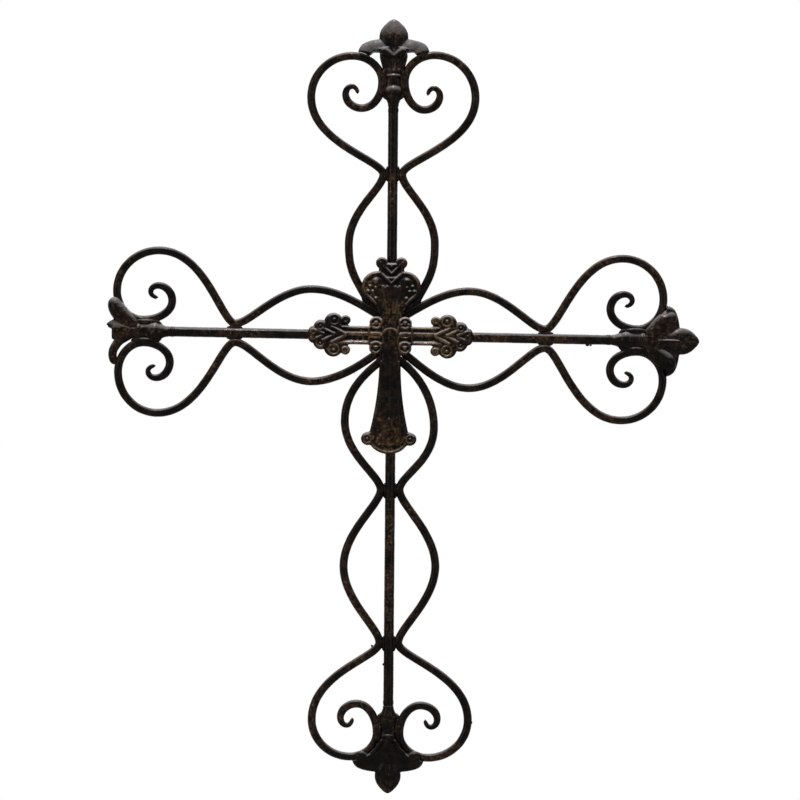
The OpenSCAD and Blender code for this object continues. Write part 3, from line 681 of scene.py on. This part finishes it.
outline = joined(outline, box_edge(40, 64.3, -2.5, 2.5), 1.5)
inside = -outline


def line_distance(ax, ay, bx, by):
    t = np.clip(((side_x - ax) * (bx - ax) + (Y - ay) * (by - ay)) / ((bx - ax)**2 + (by - ay)**2), 0, 1)
    return np.hypot(side_x - ax - t * (bx - ax), Y - ay - t * (by - ay)), t


def ridge(ax, ay, bx, by, width, height, fade=0.0):
    near, t = line_distance(ax, ay, bx, by)
    return height * np.sqrt(np.clip(1 - (near / width)**2, 0, 1)) * (1 - fade * t)


def dome(cx, cy, r, height):
    return height * np.sqrt(np.clip(1 - (np.hypot(side_x - cx, Y - cy) / r)**2, 0, 1))


def ring(cx, cy, r, width, height):
    return height * np.sqrt(np.clip(1 - ((np.hypot(side_x - cx, Y - cy) - r) / width)**2, 0, 1))


relief = np.zeros_like(X)


def raise_by(part, only=True):
    global relief
    relief = np.where(only, np.maximum(relief, part), relief)


# The upright's raised band, which runs on into the head's fan and the foot
band = 0.9 * np.sqrt(np.clip(1 - (side_x / (6.2 + 3.5 * down**2 + 5 * up**2))**2, 0, 1))
raise_by(band, (Y < 38) & (Y > -86))
# The arms' three reeds: along both edges, round the corner bosses, and down the middle
for level in (-6.0, 6.0):
    raise_by(ridge(17, level, 35, level, 1.5, 1.5))
    raise_by(ridge(35, level, 42, level * 1.3, 1.5, 1.5, 0.5))
raise_by(ridge(9, 0.8, 44, 0.8, 2.0, 1.25, 0.2))
for cx, cy in corner_bosses:
    raise_by(ring(cx, cy, 4.2, 1.15, 1.7))
    raise_by(dome(cx, cy, 2.0, 1.9))
    inner = cy - math.copysign(6.6, cy)
    raise_by(ring(cx, inner + math.copysign(0.6, cy), 5.6, 1.0, 1.35), np.abs(Y) < 9.2)
raise_by(ring(0, -1.2, 6.4, 1.2, 1.5), Y > 1.5)
raise_by(dome(0, 0.5, 4.4, 1.1))
# The leafy ends: a boss in every scallop, and veins that slant out from the middle
for (cx, cy, r), (curl_x, curl_y, curl_r) in zip(leaf_lobes, leaf_curls):
    for sy in (-1, 1):
        raise_by(dome(cx, sy * cy, r * 0.97, 0.9))
        raise_by(ring(curl_x, sy * curl_y, curl_r, 1.0, 1.5))
        raise_by(dome(curl_x, sy * (curl_y + 0.3), curl_r * 0.4, 1.7))
for start, reach, rise in ((35.5, 10.5, 6.0), (44.5, 8.5, 4.6), (52.5, 6.5, 3.4)):
    for sy in (-1, 1):
        raise_by(ridge(start, sy * 0.6, start + reach, sy * rise, 1.35, 2.1, 0.15))
raise_by(ridge(56, 0, 64, 0, 1.2, 1.2, 0.4))
# The head: two lobes with a rim, an eye and a row of pearls, a fan of flutes and the cleft's edges
rim = between(0.5, 1.2, inside) * between(3.4, 2.2, inside)
raise_by(1.1 * rim, Y > 24)
raise_by(dome(11.5, 40.5, 5.2, 0.9))
raise_by(dome(12.2, 42.8, 2.1, 2.0))
for px, py in ((12.3, 37.6), (16.6, 38.4), (14.4, 34.4), (12.0, 29.0), (18.0, 34.6)):
    raise_by(dome(px, py, 1.35, 1.7))
for fan in (3.2, 6.6):
    raise_by(ridge(0.45 * fan, 18, fan, 38, 1.5, 1.35, 0.1))
raise_by(ridge(0.8, 41.2, 9.8, 49.6, 1.5, 1.9))
raise_by(ridge(0.5, 48.4, 9.0, 57.2, 1.4, 1.5))
raise_by(ridge(0.5, 53.8, 5.5, 60, 1.5, 1.6, 0.3))
raise_by(dome(7.7, 56.9, 2.6, 1.2))
# The foot: a keel that parts towards the bosses, each with its ring
raise_by(ridge(0, -16, 0, -64, 1.2, 1.25))
raise_by(ridge(0, -66, 9.5, -84, 1.3, 1.25, 0.4))
raise_by(dome(0, -65.5, 1.3, 1.8) + dome(0, -74, 1.3, 1.2))
raise_by(dome(16.6, -81, 5.0, 0.7))
raise_by(ring(16.8, -81.4, 3.0, 0.9, 1.2))
raise_by(dome(16.9, -81.2, 1.3, 1.6))
raise_by(0.6 * between(0.4, 1.1, inside) * between(2.8, 1.8, inside), Y < -20)

speckle = np.array([[noise.noise(Vector((x * 0.9, y * 0.9, 1.0))) for x in xs] for y in ys])
soft = relief.copy()
for _ in range(2):
    around = soft[:-2, 1:-1] + soft[2:, 1:-1] + soft[1:-1, :-2] + soft[1:-1, 2:]
    soft[1:-1, 1:-1] = soft[1:-1, 1:-1] / 2 + around / 8
wide = relief.copy()
for _ in range(40):
    wide[1:-1, 1:-1] = (wide[:-2, 1:-1] + wide[2:, 1:-1] + wide[1:-1, :-2] + wide[1:-1, 2:]) / 4
shoulder = np.sqrt(np.clip(1 - (1 - np.clip(inside / 1.3, 0, 1))**2, 0, 1))
raised = np.minimum(soft * 1.15, 2.0)
face = plate_t - 1.3 + 1.3 * shoulder + raised * between(0.2, 1.4, inside) + 0.07 * speckle
# The relief's height over its surroundings: gold wear goes on its crests, and painted shade into its recesses
wear_and_shade_level = np.clip(0.42 + (soft - wide) * 1.1, 0, 1)

# Grid points just outside the outline slide onto it, so that the edge runs smooth
slope_y, slope_x = np.gradient(outline, plaque_grid)
steep = np.maximum(slope_x**2 + slope_y**2, 0.2)
edge_x = X - np.where(outline > 0, outline * slope_x / steep, 0)
edge_y = Y - np.where(outline > 0, outline * slope_y / steep, 0)
face = np.where(outline > 0, plate_t - 1.3, face)
cell_out = np.maximum.reduce([outline[:-1, :-1], outline[1:, :-1], outline[:-1, 1:], outline[1:, 1:]])
cell_in = np.minimum.reduce([outline[:-1, :-1], outline[1:, :-1], outline[:-1, 1:], outline[1:, 1:]])
used = (cell_in < 0) & (cell_out < plaque_grid * 0.9)
number = -np.ones(X.shape, int)
points, wear_and_shade_values, faces = [], [], []


def grid_point(i, j):
    if number[i, j] < 0:
        number[i, j] = len(points)
        points.append((edge_x[i, j], -face[i, j], edge_y[i, j]))
        wear_and_shade_values.append(wear_and_shade_level[i, j])
    return int(number[i, j])


for i, j in zip(*np.nonzero(used)):
    faces.append((grid_point(i, j), grid_point(i, j + 1), grid_point(i + 1, j + 1), grid_point(i + 1, j)))
# The wall: every open edge of the face drops to the flat back, which is one face
sides = {}
for quad in faces:
    for k in range(4):
        sides[(quad[k], quad[(k + 1) % 4])] = True
border = {a: b for a, b in sides if (b, a) not in sides}
first = next(iter(border))
loop = [first]
while border[loop[-1]] != first:
    loop.append(border[loop[-1]])
base = len(points)
for k in loop:
    points.append((points[k][0], 0.0, points[k][2]))
    wear_and_shade_values.append(0.1)
count = len(loop)
faces += [(loop[(k + 1) % count], loop[k], base + k, base + (k + 1) % count) for k in range(count)]
faces.append(tuple(base + k for k in reversed(range(count))))
plaque = new_piece("plaque_relief", [plaque_place @ (MM * Vector(p)) for p in points], faces=faces)
wear_and_shade = plaque.data.attributes.new("wear_and_shade", "FLOAT", "POINT")
wear_and_shade.data.foreach_set("value", wear_and_shade_values)
plaque.data.shade_smooth()
plaque.data.polygons[len(faces) - 1].use_smooth = False
plaque.data.materials.append(plaque_paint)
settle(plaque, "plaque")


# ---- Welds: beads run in by hand where the pieces touch ----
# Each waist has a bead on both sides of its bar, each heart a run along the cap's neck, each cuff
# and root a collar, and a few drops of spatter were left where they fell.

weld_paint = rubbed_paint("rubbed_bronze_paint_on_weld", 0.65, 0.25, 1.3, 0.14, (0.4, 0.4))


def bead_tree():
    """Puts a lumpy bead on every point, with the size and the turn that the point carries."""
    tree = bpy.data.node_groups.new("weld_beads", "GeometryNodeTree")
    for label, kind in (("Places", "NodeSocketGeometry"), ("Lumps", "NodeSocketFloat"),
                        ("Lumps per metre", "NodeSocketFloat"), ("Paint", "NodeSocketMaterial")):
        tree.interface.new_socket(label, in_out="INPUT", socket_type=kind)
    tree.interface.new_socket("Beads", in_out="OUTPUT", socket_type="NodeSocketGeometry")
    given = add_node(tree, "NodeGroupInput").outputs
    drop = add_node(tree, "GeometryNodeMeshIcoSphere", {"Radius": 1.0, "Subdivisions": 4})
    size = add_node(tree, "GeometryNodeInputNamedAttribute", {"Name": "bead_size"}, data_type="FLOAT_VECTOR")
    turn = add_node(tree, "GeometryNodeInputNamedAttribute", {"Name": "bead_turn"}, data_type="FLOAT_VECTOR")
    beads = add_node(tree, "GeometryNodeInstanceOnPoints",
                     {"Points": given["Places"], "Instance": drop.outputs["Mesh"],
                      "Rotation": turn.outputs["Attribute"], "Scale": size.outputs["Attribute"]})
    beads = add_node(tree, "GeometryNodeRealizeInstances", {"Geometry": beads.outputs["Instances"]})
    lumps = add_node(tree, "ShaderNodeTexNoise", {"Scale": given["Lumps per metre"], "Detail": 2.0})
    centred = add_node(tree, "ShaderNodeMath", {0: lumps.outputs["Fac"], 1: 0.6}, operation="SUBTRACT")
    depth = add_node(tree, "ShaderNodeMath", {0: centred.outputs[0], 1: given["Lumps"]}, operation="MULTIPLY")
    out = add_node(tree, "GeometryNodeInputNormal")
    push = add_node(tree, "ShaderNodeVectorMath", {0: out.outputs["Normal"], "Scale": depth.outputs[0]},
                    operation="SCALE")
    beads = add_node(tree, "GeometryNodeSetPosition",
                     {"Geometry": beads.outputs["Geometry"], "Offset": push.outputs["Vector"]})
    beads = add_node(tree, "GeometryNodeSetMaterial",
                     {"Geometry": beads.outputs["Geometry"], "Material": given["Paint"]})
    add_node(tree, "NodeGroupOutput", {"Beads": beads.outputs["Geometry"]})
    return tree


places, sizes, turns = [], [], []


def bead(arm, side, along, size, depth=0.0, lean=0.0):
    """A bead in an arm's frame; its size is across, deep and along, and lean turns it."""
    places.append(in_place(arm, False, side, along, depth))
    sizes.extend(s * MM for s in size)
    turns.extend((0, math.radians(arm + lean), 0))


touch = bar_r + gap / 2
for arm, waist in ((ARM_TOP, top_waist), (ARM_BOTTOM, bottom_waist), (ARM_BOTTOM, second_waist),
                   (ARM_LEFT, left_waist), (ARM_RIGHT, right_waist)):
    for side in (-touch, touch):
        bead(arm, side, waist + 0.6, (1.9, 2.6, 6.2))
for arm, end in ((ARM_TOP, top_end), (ARM_BOTTOM, bottom_end), (ARM_LEFT, left_end), (ARM_RIGHT, right_end)):
    for sign in (-1, 1):
        # the run between the neck and the heart, and the web where the rod leaves it
        bead(arm, sign * 7.4, end - 21.5, (3.1, 4.7, 11.0))
        bead(arm, sign * 6.5, end - 31.6, (2.3, 3.2, 4.6), lean=sign * 40)
    bead(arm, 0, end - 43, (4.25, 4.25, 6.0))
# The rods' roots, each run into its neighbour behind the plaque
roots = [(ARM_TOP, -1, top_roots[0], top_angle), (ARM_TOP, 1, top_roots[1], top_angle),
         (ARM_BOTTOM, 1, bottom_roots[0], bottom_angle), (ARM_BOTTOM, -1, bottom_roots[1], bottom_angle)]
roots += [(arm, sign, root, angle) for arm, up in ((ARM_LEFT, 1), (ARM_RIGHT, -1))
          for sign, root, angle in ((up, upper_root, upper_angle), (-up, lower_root, lower_angle))]
for arm, sign, (out, along), angle in roots:
    bead(arm, sign * (out - 0.8 * math.sin(angle)), along - 0.8 * math.cos(angle), (3.7, 3.4, 5.8),
         lean=sign * math.degrees(angle))
# One more on each side where the upper rods pass the plaque's head
for sign in (-1, 1):
    bead(ARM_TOP, sign * 13.6, 22.5, (3.4, 3.0, 7.0), lean=sign * 32)
# Spatter: single drops beside the crossbar, the foot's waist and the lower right heart
for arm, side, along, size in ((ARM_RIGHT, 4.3, 154, 1.2), (ARM_RIGHT, 4.5, 156.5, 0.8),
                               (ARM_BOTTOM, 13.2, 243.6, 0.9), (ARM_BOTTOM, -65.2, 303, 1.0),
                               (ARM_BOTTOM, 4.2, 258, 0.8)):
    bead(arm, side, along, (size, size, size * 1.3))
weld_points = new_piece("weld_beads", places)
for label, values in (("bead_size", sizes), ("bead_turn", turns)):
    attribute = weld_points.data.attributes.new(label, "FLOAT_VECTOR", "POINT")
    attribute.data.foreach_set("vector", values)
run_tree(weld_points, bead_tree(), **{"Lumps": 0.55 * MM, "Lumps per metre": 260.0, "Paint": weld_paint})
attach(weld_points, "root")


# ---- Floor, daylight and camera ----
# The cross hangs level with the eye over a plain pale floor, under one broad soft light overhead.

low, high = (Vector(corner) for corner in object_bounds())
floor_size, floor_drop = 1.1, 0.06
floor_back = floor_size * 0.45
floor_corners = ((-floor_size, -floor_size), (floor_size, -floor_size), (floor_size, floor_back),
                 (-floor_size, floor_back))
floor = new_piece("floor", [(x, y, low.z - floor_drop) for x, y in floor_corners], faces=[(0, 1, 2, 3)])
plaster = bpy.data.materials.new("pale_matt_floor")
plaster.use_nodes = True
plaster.node_tree.nodes["Principled BSDF"].inputs["Base Color"].default_value = linear("#f0efec")
plaster.node_tree.nodes["Principled BSDF"].inputs["Roughness"].default_value = 0.9
floor.data.materials.append(plaster)
floor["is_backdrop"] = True


def soft_lamp(name, at, towards, size, watts, colour):
    data = bpy.data.lights.new(name, "AREA")
    data.shape, data.size, data.energy = "DISK", size, watts
    data.color = linear(colour)[:3]
    lamp = bpy.data.objects.new(name, data)
    bpy.context.scene.collection.objects.link(lamp)
    lamp.location = at
    lamp.rotation_euler = (Vector(towards) - Vector(at)).to_track_quat("-Z", "Y").to_euler()


middle = (low + high) / 2
soft_lamp("overhead_softbox", middle + Vector((-0.15, -0.6, 1.9)), middle, 0.4, 49, "#eff4ff")
soft_lamp("window_left", middle + Vector((-2.1, -1.6, 0.5)), middle, 1.0, 22, "#fff6ea")
soft_lamp("fill_right", middle + Vector((2.0, -1.8, 0.1)), middle, 1.2, 12, "#eef3ff")
soft_lamp("back_fill", middle + Vector((0.4, 2.0, 1.2)), middle, 1.4, 16, "#ffffff")

world = bpy.data.worlds.new("white_studio")
bpy.context.scene.world = world
world.use_nodes = True
sky = world.node_tree
sky.nodes.clear()
ray = add_node(sky, "ShaderNodeLightPath").outputs
seen = add_node(sky, "ShaderNodeMath", {0: ray["Is Camera Ray"], 1: ray["Is Glossy Ray"]},
                operation="MAXIMUM")
seen = add_node(sky, "ShaderNodeMath", {0: seen.outputs[0], 1: ray["Is Transmission Ray"]},
                operation="MAXIMUM")
ambient = add_node(sky, "ShaderNodeBackground", {"Color": linear("#dfe4ec"), "Strength": 0.36})
white = add_node(sky, "ShaderNodeBackground", {"Color": (1, 1, 1, 1), "Strength": 1.0})
both = add_node(sky, "ShaderNodeMixShader", {0: seen.outputs[0], 1: ambient.outputs[0], 2: white.outputs[0]})
add_node(sky, "ShaderNodeOutputWorld", {"Surface": both.outputs[0]})

# The view is square on, from far enough to be nearly flat, and rolled by half a degree
frame_width, distance = 0.628, 5.0
roll = math.radians(-0.485)
aim = crossing + Vector((7.2 * MM, 0, -50.4 * MM))
eye = bpy.data.cameras.new("camera")
eye.sensor_width, eye.lens = 36, 36 * distance / frame_width
eye.clip_end = 50
camera = bpy.data.objects.new("camera", eye)
bpy.context.scene.collection.objects.link(camera)
camera.matrix_world = (Matrix.Translation(aim + Vector((0, -distance, 0))) @ Matrix.Rotation(roll, 4, "Y")
                       @ Matrix.Rotation(math.pi / 2, 4, "X"))
bpy.context.scene.camera = camera
bpy.context.scene.view_settings.view_transform = "Standard"
